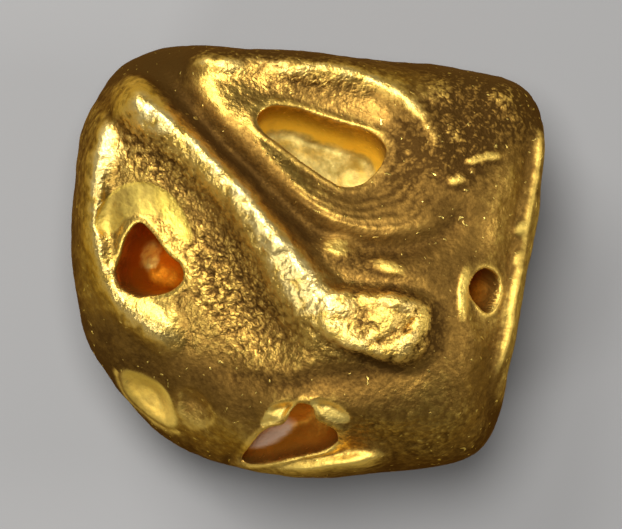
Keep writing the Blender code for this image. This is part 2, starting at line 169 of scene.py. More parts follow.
def curve(points, closed=False):
    """A cubic for each stretch between two rows, with slopes taken from the rows on either side"""
    rows = np.array(points, float)
    if closed:
        rows = np.vstack([rows[-1], rows, rows[:2]])
    else:
        rows = np.vstack([2 * rows[0] - rows[1], rows, 2 * rows[-1] - rows[-2]])
    before, start, end, after = (rows[i:len(rows) - 3 + i, None] for i in range(4))
    t = (np.arange(CURVE_STEPS) / CURVE_STEPS)[None, :, None]
    places = 0.5 * (2 * start + (end - before) * t + (2 * before - 5 * start + 4 * end - after) * t ** 2
                    + (3 * start - before - 3 * end + after) * t ** 3)
    places = places.reshape(-1, rows.shape[1])
    return places if closed else np.vstack([places, rows[-2]])


def fold(plan, path, left_spread=1.0, squareness=BELL):
    """A bell curve of the distance to a path: its height times e to the minus (distance / width) to a
    power, where height and width are read at the nearest place along it"""
    line = curve(path)
    nearest = np.full(len(plan), np.inf)
    height, width, side = np.zeros((3, len(plan)))
    for start, end in zip(line[:-1], line[1:]):
        run = end[:2] - start[:2]
        offset = plan - start[:2]
        share = np.clip(offset @ run / (run @ run), 0, 1)
        away = np.hypot(*(offset - share[:, None] * run).T)
        closer = away < nearest
        nearest[closer] = away[closer]
        height[closer] = (start[2] + share * (end[2] - start[2]))[closer]
        width[closer] = (start[3] + share * (end[3] - start[3]))[closer]
        side[closer] = (run[0] * offset[:, 1] - run[1] * offset[:, 0])[closer]
    width[side < 0] *= left_spread
    return height * np.exp(-(nearest / width) ** squareness)


def reach_out(plan, outline, middle):
    """Distance from the middle over the outline's distance in that direction: 0 to 1 inside it"""
    around = curve(outline, closed=True) - middle
    angle = np.arctan2(around[:, 1], around[:, 0])
    offset = plan - middle
    reach = np.interp(np.arctan2(offset[:, 1], offset[:, 0]), angle, np.hypot(*around.T), period=math.tau)
    return np.hypot(*offset.T) / reach


def oval(plan, x, y, half_length, half_width, turn, height):
    """The height times e to the minus (squared oval radius) to the power 1.3: a flat-topped lump"""
    offset = plan - (x, y)
    turn = math.radians(turn)
    along = offset @ (math.cos(turn), math.sin(turn))
    across = offset @ (-math.sin(turn), math.cos(turn))
    return height * np.exp(-((along / half_length) ** 2 + (across / half_width) ** 2) ** 1.3)


# %% [markdown]
# ## Where each shape lies
#
# These are the nugget's own features, as a collector would name them. The ridge runs from the upper left
# corner to the middle and swells into the knob. A dark groove parts it from the dish, and the left side
# has a long valley with a shoulder beyond it. They could be modelled one by one with a sculpting brush,
# but as paths they stay easy to move. A fold's rows hold x, y, height and half-width.

# %% The folds on the upper side
RIDGE = (
    (-4.80, 4.62, 0.00, 0.34), (-4.38, 4.22, 1.05, 0.42), (-4.00, 3.88, 0.78, 0.42),
    (-3.50, 3.42, 0.48, 0.42), (-3.00, 3.00, 0.42, 0.41), (-2.40, 2.42, 0.44, 0.40),
    (-1.80, 1.85, 0.46, 0.42), (-1.20, 1.05, 0.50, 0.46), (-0.75, 0.40, 0.56, 0.52),
    (-0.25, -0.35, 0.58, 0.58), (0.35, -1.05, 0.52, 0.64), (1.00, -1.45, 0.38, 0.68),
    (1.60, -1.60, 0.00, 0.70),
)
SHOULDER = (
    (-4.98, 4.05, 0.00, 0.40), (-5.22, 3.30, 0.60, 0.43), (-5.38, 2.60, 0.64, 0.43),
    (-5.44, 1.70, 0.52, 0.38), (-5.36, 0.75, 0.38, 0.31), (-5.18, 0.00, 0.32, 0.27),
    (-4.90, -0.75, 0.30, 0.28), (-4.35, -1.35, 0.36, 0.34), (-3.75, -1.80, 0.30, 0.38),
    (-3.05, -2.15, 0.00, 0.38),
)
VALLEY = (
    (-4.20, 3.40, 0.00, 0.70), (-3.45, 2.15, 0.25, 0.86), (-2.70, 0.95, 0.38, 0.92),
    (-2.00, -0.30, 0.45, 0.96), (-1.15, -1.60, 0.42, 0.92), (-0.10, -2.25, 0.00, 0.66),
)
GROOVE = (
    (-4.00, 5.45, 0.00, 0.34), (-3.40, 4.55, 0.34, 0.36), (-2.50, 3.32, 0.38, 0.36),
    (-1.86, 2.64, 0.38, 0.36), (-0.90, 1.72, 0.38, 0.37), (0.10, 0.85, 0.36, 0.36),
    (1.00, 0.45, 0.34, 0.34), (1.85, 0.30, 0.32, 0.32), (2.75, 0.42, 0.28, 0.32),
    (3.50, 0.85, 0.18, 0.30), (4.05, 1.60, 0.00, 0.28),
)
CREASE = (
    (-2.90, -2.15, 0.00, 0.24), (-2.10, -2.60, 0.08, 0.30), (-1.25, -2.88, 0.11, 0.32),
    (-0.45, -2.95, 0.12, 0.32), (0.55, -2.80, 0.12, 0.32), (1.55, -2.70, 0.11, 0.32),
    (2.45, -2.75, 0.08, 0.32), (3.20, -2.70, 0.00, 0.30),
)
COLLAR = (
    (-5.12, 0.62, 0.00, 0.30), (-5.03, 0.92, 0.09, 0.34), (-4.82, 1.28, 0.10, 0.38),
    (-4.45, 1.54, 0.10, 0.42), (-4.02, 1.58, 0.10, 0.43), (-3.58, 1.40, 0.09, 0.38),
    (-3.24, 1.05, 0.07, 0.30), (-2.98, 0.58, 0.05, 0.24), (-2.88, 0.10, 0.00, 0.20),
)
HOOD = (
    (-1.70, -4.00, 0.00, 0.30), (-1.05, -3.70, 0.10, 0.42), (-0.25, -3.55, 0.14, 0.46),
    (0.80, -3.55, 0.14, 0.46), (1.70, -3.75, 0.10, 0.42), (2.40, -4.10, 0.00, 0.30),
)
SILL = (
    (-2.10, -5.05, 0.00, 0.20), (-1.60, -5.22, 0.50, 0.24), (-0.60, -5.28, 0.70, 0.27),
    (0.40, -5.15, 0.80, 0.27), (1.30, -5.02, 0.80, 0.27), (2.15, -4.90, 0.00, 0.24),
)
RIB = (
    (5.85, 3.70, 0.00, 0.26), (5.98, 2.90, 0.80, 0.28), (5.88, 1.90, 0.90, 0.30),
    (5.66, 0.40, 1.30, 0.33), (5.45, -0.80, 1.50, 0.35), (5.26, -1.90, 1.45, 0.34),
    (5.05, -2.90, 1.20, 0.32), (4.75, -3.90, 0.00, 0.28),
)
RIM = (
    (-3.15, 5.00, 0.00, 0.40), (-2.60, 5.22, 0.62, 0.46), (-1.90, 5.29, 0.80, 0.50),
    (-0.75, 5.22, 0.82, 0.48), (0.55, 5.03, 0.62, 0.46), (1.55, 4.75, 0.42, 0.44),
    (2.45, 4.12, 0.30, 0.40), (3.12, 3.15, 0.18, 0.34), (3.45, 2.20, 0.00, 0.28),
)
RIDGE_SPREAD = 1.5         # how much wider the ridge's left flank is than its right one
FOLDS = {"ridge": RIDGE, "shoulder": SHOULDER, "valley": VALLEY, "groove": GROOVE, "crease": CREASE,
         "collar": COLLAR, "hood": HOOD, "sill": SILL, "rib": RIB, "rim": RIM}
print("folds:", ", ".join(FOLDS))

# %% [markdown]
# ## The dish, the knob, the pockets and the lumps
#
# What isn't long is drawn as a closed outline or as an oval. The dish is wide and shallow, and the knob
# stands up beside it. The pockets are smooth bites in the slopes: a bright one in the west with a worn
# one next to it, two lenses over the lower hollow and a spoon round the right one. A pocket could have
# one depth, but it then tilts with its slope and stays dark. These get deeper to one side, so that
# their floors lie more level and catch the light from above.

# %% The dish, the knob, the pockets and the lumps
DISH = (
    (-3.15, 4.85), (-1.95, 5.20), (-0.70, 5.15), (0.55, 4.95), (1.80, 4.60), (2.70, 4.00),
    (3.30, 3.20), (3.55, 2.40), (3.35, 1.65), (2.70, 1.00), (1.80, 0.75), (0.95, 0.90),
    (0.05, 1.30), (-0.80, 1.92), (-1.75, 2.74), (-2.62, 3.85),
)
DISH_MIDDLE = (0.55, 2.85)
DISH_DEPTH = 0.34
DISH_DEEPENS = (-1.7, 0.3)  # its floor sinks from the first place along X to the second
KNOB = (
    (-0.05, -0.90), (0.60, -0.52), (1.55, -0.60), (2.40, -0.68), (3.00, -0.95), (3.18, -1.65),
    (3.02, -2.30), (2.45, -2.62), (1.62, -2.42), (0.70, -2.10), (0.10, -1.70),
)
KNOB_MIDDLE = (1.45, -1.50)
KNOB_HEIGHT = 0.46
POCKETS = {                # depth at the middle, and how much deeper per mm east and north
    "west": {
        "outline": (
            (-4.66, -2.68), (-4.20, -2.76), (-3.75, -2.98), (-3.50, -3.25), (-3.36, -3.60),
            (-3.26, -3.95), (-3.32, -4.18), (-3.62, -4.12), (-4.10, -3.80), (-4.52, -3.40),
            (-4.72, -2.98),
        ),
        "middle": (-3.95, -3.40), "depth": (0.38, 0.60, 0.70),
    },
    "side": {
        "outline": (
            (-3.20, -3.10), (-2.70, -3.20), (-2.30, -3.70), (-2.35, -4.10), (-2.80, -4.25),
            (-3.10, -4.15), (-3.30, -3.75),
        ),
        "middle": (-2.80, -3.70), "depth": (0.18, 0.20, 0.30),
    },
    "left_lens": {
        "outline": (
            (-1.20, -4.05), (-1.00, -3.62), (-0.66, -3.45), (-0.28, -3.45), (-0.40, -3.68),
            (-0.72, -3.96), (-1.02, -4.08),
        ),
        "middle": (-0.74, -3.72), "depth": (0.12, 0.40, 0.75),
    },
    "right_lens": {
        "outline": (
            (0.04, -3.42), (0.42, -3.38), (0.84, -3.56), (1.08, -3.84), (0.98, -4.00),
            (0.72, -3.99), (0.40, -3.84), (0.16, -3.66),
        ),
        "middle": (0.55, -3.68), "depth": (0.12, 0.20, 0.75),
    },
    "spoon": {
        "outline": (
            (3.76, -0.63), (3.88, -0.30), (4.19, -0.05), (4.60, 0.00), (4.92, -0.36), (5.00, -0.87),
            (4.98, -1.42), (4.78, -1.98), (4.44, -2.08), (4.10, -1.75), (3.86, -1.25),
        ),
        "middle": (4.40, -1.00), "depth": (0.14, -0.45, 0.0),
    },
}
LUMPS = (                  # x, y, half-length, half-width, turn in degrees, height
    (0.75, 0.40, 0.38, 0.25, -10, 0.18), (2.00, -0.10, 0.43, 0.17, -20, 0.14),
    (3.25, 4.25, 0.43, 0.30, 0, 0.17), (4.90, 4.20, 0.35, 0.40, -60, 0.17),
    (3.55, 3.30, 0.20, 0.35, 20, 0.10), (4.15, 2.55, 0.20, 0.12, 15, 0.10),
    (4.55, 2.65, 0.25, 0.12, 5, 0.12), (3.70, 2.05, 0.20, 0.14, 10, 0.10),
    (5.30, 0.85, 0.18, 0.13, 60, 0.10), (5.25, 0.10, 0.20, 0.13, 60, 0.08),
    (3.88, -0.72, 0.60, 0.15, 86, 0.15), (1.84, -1.42, 0.35, 0.24, 20, 0.10),
    (2.86, -1.45, 0.15, 0.42, -8, 0.14), (2.50, -1.60, 0.24, 0.11, 60, -0.16),
    (-4.02, -1.14, 0.42, 0.20, -35, 0.12), (-3.55, -1.35, 0.30, 0.45, 20, 0.08),
    (0.80, -1.75, 0.60, 0.16, -25, 0.08),
)
KNOTS = (                  # bulges along the ridge: x, y, half-length, half-width, turn, height
    (-4.22, 4.05, 0.34, 0.22, -60, 0.12), (-3.58, 3.50, 0.30, 0.26, -30, 0.13),
    (-2.67, 2.90, 0.32, 0.22, -45, 0.11), (-2.25, 2.42, 0.26, 0.22, -20, 0.10),
    (-1.61, 1.80, 0.34, 0.24, -50, 0.12), (-1.20, 1.12, 0.34, 0.26, -60, 0.11),
    (-0.74, 0.50, 0.30, 0.30, -40, 0.10), (-0.10, -0.20, 0.44, 0.30, -65, 0.09),
    (2.30, -0.98, 0.40, 0.16, -8, 0.15), (1.30, -2.08, 0.50, 0.14, -14, 0.13),
    (2.52, -1.75, 0.16, 0.36, -20, 0.12), (1.75, -1.75, 0.34, 0.12, 30, 0.10),
)
print("lumps:", len(LUMPS), "knots:", len(KNOTS))

# %% [markdown]
# ## The four hollows
#
# Four deep holes are what one sees first: a long eye in the dish, a rounded triangle under the crescent
# trough, a small one by the right edge and a wide one in the lower slope. Each is an outline for its
# mouth, a direction that it goes in, a depth, and a bulge behind its lip. They are written down before
# they are made, because the grid is drawn to their outlines first. The terraces are fine steps that
# run round the dish's lower side.

# %% The hollows' mouths
EYE = {
    "outline": (
        (-1.25, 3.60), (-1.00, 3.85), (-0.65, 3.90), (-0.15, 3.80), (0.45, 3.60), (1.10, 3.40),
        (1.65, 3.20), (1.95, 2.85), (1.85, 2.45), (1.55, 2.10), (1.20, 1.90), (0.80, 1.90),
        (0.45, 2.10), (0.00, 2.40), (-0.60, 2.85), (-1.10, 3.25),
    ),
    "middle": (0.45, 2.85), "inwards": (-0.10, -0.42, -1.0), "depth": 1.5, "bulge": 0.18,
    "lip": (0.05, 0.10), "floor": 5,
}
LEFT_HOLLOW = {
    "outline": (
        (-4.20, 1.00), (-3.85, 0.72), (-3.50, 0.25), (-3.15, -0.05), (-3.08, -0.40), (-3.30, -0.65),
        (-3.70, -0.80), (-4.25, -0.82), (-4.65, -0.60), (-4.78, -0.25), (-4.68, 0.15), (-4.52, 0.65),
    ),
    "middle": (-3.98, -0.10), "inwards": (0.45, 0.10, -1.0), "depth": 1.9, "bulge": 0.25,
    "lip": (0.04, 0.12), "floor": 2.5,
}
RIGHT_HOLLOW = {
    "outline": (
        (4.45, -0.15), (4.70, -0.30), (4.80, -0.65), (4.70, -1.05), (4.45, -1.25), (4.20, -1.05),
        (4.00, -0.70), (4.10, -0.40), (4.25, -0.20),
    ),
    "middle": (4.40, -0.70), "inwards": (-0.80, 0.05, -0.6), "depth": 1.6, "bulge": 0.25,
    "lip": (0.03, 0.12), "floor": 2.5,
}
LOWER_HOLLOW = {
    "outline": (
        (-0.20, -3.49), (0.10, -3.57), (0.25, -3.92), (0.68, -4.17), (0.73, -4.47), (0.35, -4.70),
        (-0.20, -4.82), (-0.83, -4.98), (-1.42, -5.06), (-1.65, -4.92), (-1.46, -4.60),
        (-1.08, -4.17), (-0.60, -4.00), (-0.42, -3.67),
    ),
    "middle": (-0.38, -4.35), "inwards": (0.12, 0.55, -0.8), "depth": 1.3, "bulge": 0.15,
    "lip": (0.08, 0.12), "floor": 2.5,
}
HOLLOWS = {"eye": EYE, "left": LEFT_HOLLOW, "right": RIGHT_HOLLOW, "lower": LOWER_HOLLOW}
TERRACES = {               # where they fade in and out, in degrees round the dish and shares of the way out
    "from": (215, 250), "to": (325, 360), "inner": (0.55, 0.65), "outer": (0.96, 1.04),
    "spacing": 0.095, "height": 0.009, "waviness": 0.06,
}
print("hollows:", ", ".join(HOLLOWS))

# %% [markdown]
# ## Drawing the grid to the mouths
#
# An even grid has few points where the lips turn sharply, and a finer grid everywhere would make the
# mesh heavy. So before anything is moved, each direction near a mouth is pulled part of the way to its
# outline, and the same number of points serves the lips better.

# %% Crowd the grid round the mouths
CROWDING = 0.55            # how much of the way the nearest points move
CROWDING_REACH = 0.35      # how far from the outline it is felt, as a share of the mouth


def crowded(directions):
    """Moves a direction's plan place towards each outline by a bell curve of how near it is"""
    for hollow in HOLLOWS.values():
        places = directions / block_level(directions)[:, None]
        out = reach_out(places[:, :2], hollow["outline"], hollow["middle"])
        pull = CROWDING * np.exp(-((out - 1) / CROWDING_REACH) ** 2) * (places[:, 2] > 0)
        scale = (1 + (out - 1) * (1 - pull)) / np.maximum(out, 1e-6)
        places[:, :2] = hollow["middle"] + (places[:, :2] - hollow["middle"]) * scale[:, None]
        directions = places / np.linalg.norm(places, axis=1)[:, None]
    return directions


directions = crowded(directions)
print("directions:", directions.shape)

# %% [markdown]
# ## Uneven lumps and dents
#
# No worn face is truly flat. By hand one would press and pull it here and there, and a formula has to
# bring its own unevenness. Soft noise, made by blending random slopes on a lattice, lifts and sinks
# the skin by a tenth of a millimetre. A few wide dents break up the sides and the underside, which the
# picture doesn't show but which turn up as soon as the nugget is picked up.

# %% Noise, dents and the skin
LUMP_SIZES = ((2.4, 0.10), (1.1, 0.045))   # spacing and height of the uneven lumps all over
DENTS = (                  # azimuth, elevation, radius, depth
    (95, -18, 1.6, 0.30), (60, -50, 1.3, 0.26), (200, -30, 1.7, 0.34), (300, -28, 1.5, 0.32),
    (350, -20, 1.2, 0.24), (250, -12, 1.0, 0.18), (140, -8, 1.1, 0.20),
)
FACING_UP = (-0.12, 0.14)   # the skin's upward lean over which the upper side's shapes fade in


def uneven(places, spacing, seed, lattice=16):
    """Random slopes on a lattice of the given spacing, blended by a smooth fifth-power step"""
    cell = np.floor(places / spacing).astype(np.int64)
    inside = places / spacing - cell
    blend = inside ** 3 * (inside * (inside * 6 - 15) + 10)
    slopes = np.random.default_rng(seed).uniform(-1, 1, (lattice, lattice, lattice, 3))
    total = np.zeros(len(places))
    for corner in np.ndindex(2, 2, 2):
        slope = slopes[tuple(((cell + corner) % lattice).T)]
        weight = np.prod(np.where(corner, blend, 1 - blend), axis=1)
        total += weight * ((inside - corner) * slope).sum(1)
    return total * 1.6


def block_skin(directions):
    """The block's skin moved out by the uneven lumps and in by the dents, each a bell of distance"""
    places = directions / block_level(directions)[:, None]
    lean = block_lean(places)
    out = sum(height * uneven(places, spacing, seed) for seed, (spacing, height) in enumerate(LUMP_SIZES))
    for azimuth, elevation, radius, depth in DENTS:
        toward = unit(azimuth, elevation)
        heart = toward / block_level(toward)
        out = out - depth * np.exp(-(((places - heart) ** 2).sum(1) / radius ** 2) ** 1.5)
    return places + lean * out[:, None], lean


places, lean = block_skin(directions)
upper = smooth_step(*FACING_UP, lean[:, 2])
print("skin, mm:", np.ptp(places, axis=0).round(2))

# %% [markdown]
# ## Adding the relief
#
# A modifier per feature would work too, but then nothing else could ask where the groove is. Here each
# feature is measured once and kept, because the finish needs it again: the groove gets painted shade, and
# the ridge is painted pale, partly as wear and partly as a painted highlight. The ridge and the knob meet
# by the cube root of their cubes' sum, which follows the higher one and has no step where they cross.
# The rest simply add up.

# %% Measure the features
def within(name, start, end):
    """1 inside an outline and 0 outside it, with a smooth step between two shares of the way out"""
    return 1 - smooth_step(start, end, out_of[name])


def ring(name, at, width):
    """A bell curve round an outline, highest where the share of the way out is the given one"""
    return np.exp(-((out_of[name] - at) / width) ** 2)


def pocket(name):
    """Depth at the middle plus a slope east and north, inside the outline: its floor is more level
    than the slope it lies in"""
    at_middle, *deeper = POCKETS[name]["depth"]
    return within(name, 0.35, 1.05) * np.maximum(at_middle + (plan - POCKETS[name]["middle"]) @ deeper, 0)


plan = places[:, :2].copy()
high = {name: fold(plan, path) for name, path in FOLDS.items()}
high["ridge"] = fold(plan, RIDGE, RIDGE_SPREAD, FLAT_TOPPED)
high["collar"] = fold(plan, COLLAR, squareness=FLAT_TOPPED)
out_of = {"knob": reach_out(plan, KNOB, KNOB_MIDDLE), "dish": reach_out(plan, DISH, DISH_MIDDLE)}
for name, opening in {**POCKETS, **HOLLOWS}.items():
    out_of[name] = reach_out(plan, opening["outline"], opening["middle"])
high["knob"] = KNOB_HEIGHT * within("knob", 0.60, 1.14)
high["crest"] = (high["ridge"] ** 3 + high["knob"] ** 3) ** (1 / 3)
high["bowl"] = DISH_DEPTH * within("dish", 0.35, 1.02) * smooth_step(*DISH_DEEPENS, plan[:, 0])
high["pockets"] = sum(pocket(name) for name in POCKETS)
high["lumps"] = sum(oval(plan, *row) for row in LUMPS)
high["knots"] = sum(oval(plan, *row) for row in KNOTS)
print("highest, mm:", {name: float(value.max().round(2)) for name, value in high.items()})

# %% Add them up
RAISED = ("crest", "shoulder", "hood", "sill", "rib", "rim", "lumps", "knots")
SUNK = ("valley", "groove", "crease", "collar", "bowl", "pockets")
relief = sum(high[name] for name in RAISED) - sum(high[name] for name in SUNK)
for name, hollow in HOLLOWS.items():
    lip, band = hollow["lip"]
    relief += lip * ring(name, 1 + band, band)
east, north = (plan - DISH_MIDDLE).T
around = np.degrees(np.arctan2(north, east)) % 360
terraced = smooth_step(*TERRACES["from"], around) * (1 - smooth_step(*TERRACES["to"], around))
terraced *= smooth_step(*TERRACES["inner"], out_of["dish"]) * within("dish", *TERRACES["outer"])
bent = out_of["dish"] + TERRACES["waviness"] * uneven(places, 0.9, 19)
relief += TERRACES["height"] * terraced * np.sin(math.tau * bent / TERRACES["spacing"])
places[:, 2] += relief * upper
print("relief, mm:", relief.min().round(2), "to", relief.max().round(2))

# %% [markdown]
# ## Pushing the hollows in
#
# A hollow could be cut with a Boolean, but that leaves a ragged ring of thin faces just where the light
# catches the lip. Here the grid itself is pushed in. Inside the mouth's outline, a point's share of the
# way out from the middle decides both how far it sinks and how wide it lands, so the skin rolls over
# the lip, bulges behind it and closes in a round floor.

# %% Push the hollows in
def sink(places, out, hollow):
    """Width is the square root of the share times a bulge, depth is 1 less the share to a power that
    is higher for a flatter floor, and a short smooth step rolls the skin over the lip"""
    inside = (out < 1) & (places[:, 2] > 0)
    heart = places[np.argmin(out + 9 * (places[:, 2] < 0))].copy()
    heart[:2] = hollow["middle"]
    share = np.maximum(out[inside], 1e-4)
    inwards = np.array(hollow["inwards"]) / np.linalg.norm(hollow["inwards"])
    width = share ** 0.5 * (1 + hollow["bulge"] * np.sin(math.pi * share))
    depth = hollow["depth"] * (1 - share ** hollow["floor"]) * (0.35 + 0.65 * smooth_step(0, 0.1, 1 - share))
    sunk = places.copy()
    sunk[inside] = heart + (places[inside] - heart) * (width / share)[:, None] + inwards * depth[:, None]
    return sunk, np.where(inside, 1 - out, 0)


hollow_share = np.zeros(len(places))
for name, hollow in HOLLOWS.items():
    places, sunk = sink(places, out_of[name], hollow)
    hollow_share = np.maximum(hollow_share, sunk)
print("points in hollows:", int((hollow_share > 0).sum()))

# %% [markdown]
# ## Normals and neighbours
#
# Grain stands at right angles to the skin, also on the hollows' walls, so it needs each point's own
# direction. Blender could work the directions out, but numpy has all the faces at hand: each one adds
# its direction to its four corners. The same faces say which points are neighbours, and averaging over
# neighbours smooths anything that the points carry.

# %% Normals and neighbours
FINE_ROUNDS, WIDE_ROUNDS = 3, 40   # rounds of averaging that even out a grain, and a whole fold


def normals_of(places):
    """The sum of the cross products of each face's diagonals, made unit length"""
    corner = places[faces]
    outwards = np.cross(corner[:, 2] - corner[:, 0], corner[:, 3] - corner[:, 1])
    total = np.stack([np.bincount(faces.ravel(), np.repeat(outwards[:, axis], 4), len(places))
                      for axis in range(3)], 1)
    return total / np.linalg.norm(total, axis=1)[:, None]


links = np.concatenate([faces[:, [0, 1]], faces[:, [1, 2]], faces[:, [2, 3]], faces[:, [3, 0]]])
link_count = np.bincount(links.ravel(), minlength=len(places))


def averaged(values, rounds):
    """Each point's row of values becomes the mean of its neighbours', the given number of times"""
    for _ in range(rounds):
        values = np.stack([
            np.bincount(links[:, 0], values[links[:, 1], axis], len(values))
            + np.bincount(links[:, 1], values[links[:, 0], axis], len(values))
            for axis in range(3)], 1) / link_count[:, None]
    return values


normals = normals_of(places)
facing = smooth_step(0.42, 0.84, averaged(normals, FINE_ROUNDS)[:, 2])
print("links:", len(links), "share that faces up:", facing.mean().round(2))

# %% [markdown]
# ## Stain, grain, rubbed gold, and painted light and shade
#
# Under a lens this gold isn't all alike. The ridge and the knob are hammered into bright flakes, the
# valley and the upper right corner are a crust of rounded grains, and the crescent trough and the west
# pocket are smooth. The slopes, the groove and the sunken places are browned, partly by iron stain and
# partly by painted shade, and the crests and tops are paler, partly by wear and partly by painted
# highlights. Such zones could be painted on the mesh. Here they come from ovals and from the features
# measured above, so they follow when a feature is moved, and the grain and the finish both read them.

# %% Grainy, stained and shaded places
GRAINY = (                 # x, y, half-length, half-width, turn, strength
    (-3.95, 2.85, 1.40, 1.00, -45, 1.0), (-1.90, -0.60, 2.40, 1.15, -58, 1.0),
    (4.35, 3.95, 1.50, 0.90, -20, 0.9), (3.75, 2.75, 0.90, 0.70, -60, 0.8),
    (2.45, 2.60, 0.60, 1.30, 0, 0.4), (-0.20, 4.45, 1.60, 0.45, -10, 0.6),
    (2.30, -4.10, 2.20, 0.90, 0, 0.3), (1.30, 0.05, 1.50, 0.40, -10, 0.4),
    (-0.40, 4.90, 2.60, 0.40, -8, 0.5), (1.70, -1.60, 1.50, 0.90, 0, 1.0),
)
STAIN_AND_SHADE_OVALS = (              # x, y, half-length, half-width, turn, strength of the brown stain and painted shade: less than 0 where it is lighter
    (4.40, 3.90, 1.60, 1.20, -30, 1.00), (4.00, 2.20, 0.90, 1.50, 0, 0.80),
    (2.60, 2.40, 0.80, 1.20, 0, 0.80), (2.20, 0.35, 2.40, 0.50, -8, 0.65),
    (3.80, -1.30, 0.75, 2.60, 0, 0.65), (2.60, -4.00, 2.80, 1.20, 0, 0.16),
    (-2.40, -3.30, 2.00, 0.60, -15, 0.75), (-4.70, -2.20, 0.80, 1.20, 25, 0.75),
    (-3.90, 5.10, 1.30, 0.50, 25, 0.70), (-3.20, 4.60, 0.50, 0.80, 0, 0.50),
    (-1.75, 2.72, 0.36, 2.40, 40, 0.60), (1.90, 1.35, 1.70, 0.45, -4, 0.70),
    (3.15, -1.60, 0.28, 1.10, 0, 0.60), (1.20, -3.30, 1.50, 0.60, 0, 0.60),
    (-1.15, 2.75, 0.20, 2.20, 41, 0.60), (3.00, 3.10, 0.60, 1.20, 30, 0.40),
    (-1.80, 4.05, 0.80, 0.50, -20, -0.40), (-0.75, 2.62, 0.18, 1.10, 41, -0.50),
    (-3.20, -2.60, 2.20, 0.45, -28, 0.60), (0.00, -1.00, 6.00, 6.00, 0, 0.10),
    (1.90, -0.15, 1.60, 0.40, -8, 0.80),
)
print("grainy places:", len(GRAINY), "stained places:", len(STAIN_AND_SHADE_OVALS))

# %% Smooth, crested, rubbed and highlit places
PALE_CORNER = (-4.50, 3.20, 0.95, 0.50, 68, 0.5)   # an oval between the shoulder and the ridge's head, painted paler: a painted highlight

on_skin = 1 - smooth_step(0, 0.06, hollow_share)
trough = smooth_step(0.35, 0.6, high["collar"] / 0.10) * (1 - 0.6 * smooth_step(-4.0, -3.4, plan[:, 0]))
smooth_metal = np.clip((trough + within("west", 0.88, 1.02)) * (out_of["left"] > 1), 0, 1)
ledge = smooth_step(0.10, 0.35, high["rim"]) * within("dish", 0.96, 1.05)
crest = np.clip((high["crest"] / 0.42) ** 2 + high["shoulder"] / 0.3 + 0.4 * ledge, 0, 1) * upper
lens = within("left_lens", 0.85, 1.0) + within("right_lens", 0.85, 1.0)
# Painted paler, partly by wear on the knots, the crest and the shoulder, and partly as a painted highlight
# on the dish's upper rim, the lenses and the corner by the ridge's head
rubbed = high["knots"] / 0.10 + 0.9 * smooth_step(0.40, 0.56, high["crest"]) + high["shoulder"] / 0.6
rubbed *= 1 - 0.7 * smooth_step(0.3, 1.3, plan[:, 0])
rubbed = np.clip(rubbed + oval(plan, *PALE_CORNER) + 0.45 * ledge + lens, 0, 1) * on_skin
print("crested:", crest.mean().round(2), "rubbed:", rubbed.mean().round(2))

# %% Yellow, highlit, stained and shaded places
WEST = POCKETS["west"]["middle"]
YELLOW_SILL = (1.00, -4.75, 0.60, 0.22, -22, 0.8)  # an oval on the slope above the sill


def towards(middle, east, north):
    """How far each point lies from a middle in a direction, given by its east and north shares"""
    return (plan - middle) @ (east, north)


golden = high["lumps"] / 0.15 * (1 - 0.8 * smooth_step(2.9, 3.5, plan[:, 1])) + lens
# The sill and the rib are painted yellower where they face up: painted highlights
golden += (high["sill"] / 0.5 + high["rib"] / 0.6) * (0.4 + 0.6 * facing)
golden += 0.5 * within("side", 0.8, 1.0) + 0.2 * within("spoon", 0.8, 1.1)
golden += within("west", 0.85, 1.0) * smooth_step(-0.5, 0.5, towards(WEST, 0.45, -0.9))
# The west pocket's lower left rim is painted yellower: a painted highlight
golden += ring("west", 1.10, 0.10) * (towards(WEST, -0.7, -0.7) > 0.1)
golden = np.clip(golden + oval(plan, *YELLOW_SILL), 0, 1) * upper * on_skin
tarnish = sum(oval(plan, *row) for row in STAIN_AND_SHADE_OVALS)
# Painted shade: darker down in the groove, the crease and the dish's bowl
tarnish += high["groove"] / 0.35 + high["crease"] / 0.16 + high["bowl"] / 0.8
tarnish = np.clip(tarnish * upper, 0, 1) * (1 - 0.7 * golden) * (1 - 0.7 * crest)
# Painted shadows: a dark ring round the knob's east foot and a dark line along the eye's lower left edge
knob_foot_shadow = ring("knob", 1.10, 0.10) * smooth_step(0.6, 1.6, plan[:, 0])
under_eye_shadow = ring("eye", 1.08, 0.09) * smooth_step(0.0, 0.6, towards(EYE["middle"], -0.5, -0.85))
tarnish = np.maximum(tarnish, np.maximum(0.7 * knob_foot_shadow, 0.8 * under_eye_shadow))
grainy = np.clip(sum(oval(plan, *row) for row in GRAINY), 0, 1) * upper * (1 - 0.8 * crest)
grainy = grainy * (1 - smooth_metal) * on_skin
flaky = crest * (1 - smooth_metal) * on_skin
print("yellow:", golden.mean().round(2), "stained:", tarnish.mean().round(2),
      "grainy:", grainy.mean().round(2))

# %% [markdown]
# ## The grain
#
# Rounded grains could come from a Displace modifier with a cell texture, but the zones above are easier
# to use in numpy. A grain is a dome: one less the squared distance to the nearest of one random point
# per lattice cell. The crust, the flakes and the knob's facets are the same dome at other spacings.
# Soft noise adds a slight swell everywhere and a rough floor in the hollows. All the heights are added
# along the surface's own normals.

# %% Add the grain
GRAINS = ((0.27, 0.055, 11), (0.15, 0.030, 12))    # spacing, height and random seed of each layer
FLAKES = ((0.42, 0.035, 13), (0.20, 0.014, 14))
FACETS = ((0.62, 0.080, 20),)
SWELLS = ((0.32, 0.012, 15), (0.16, 0.006, 16))
ROUGH_FLOORS = ((0.70, 0.120, 17), (0.30, 0.040, 18))


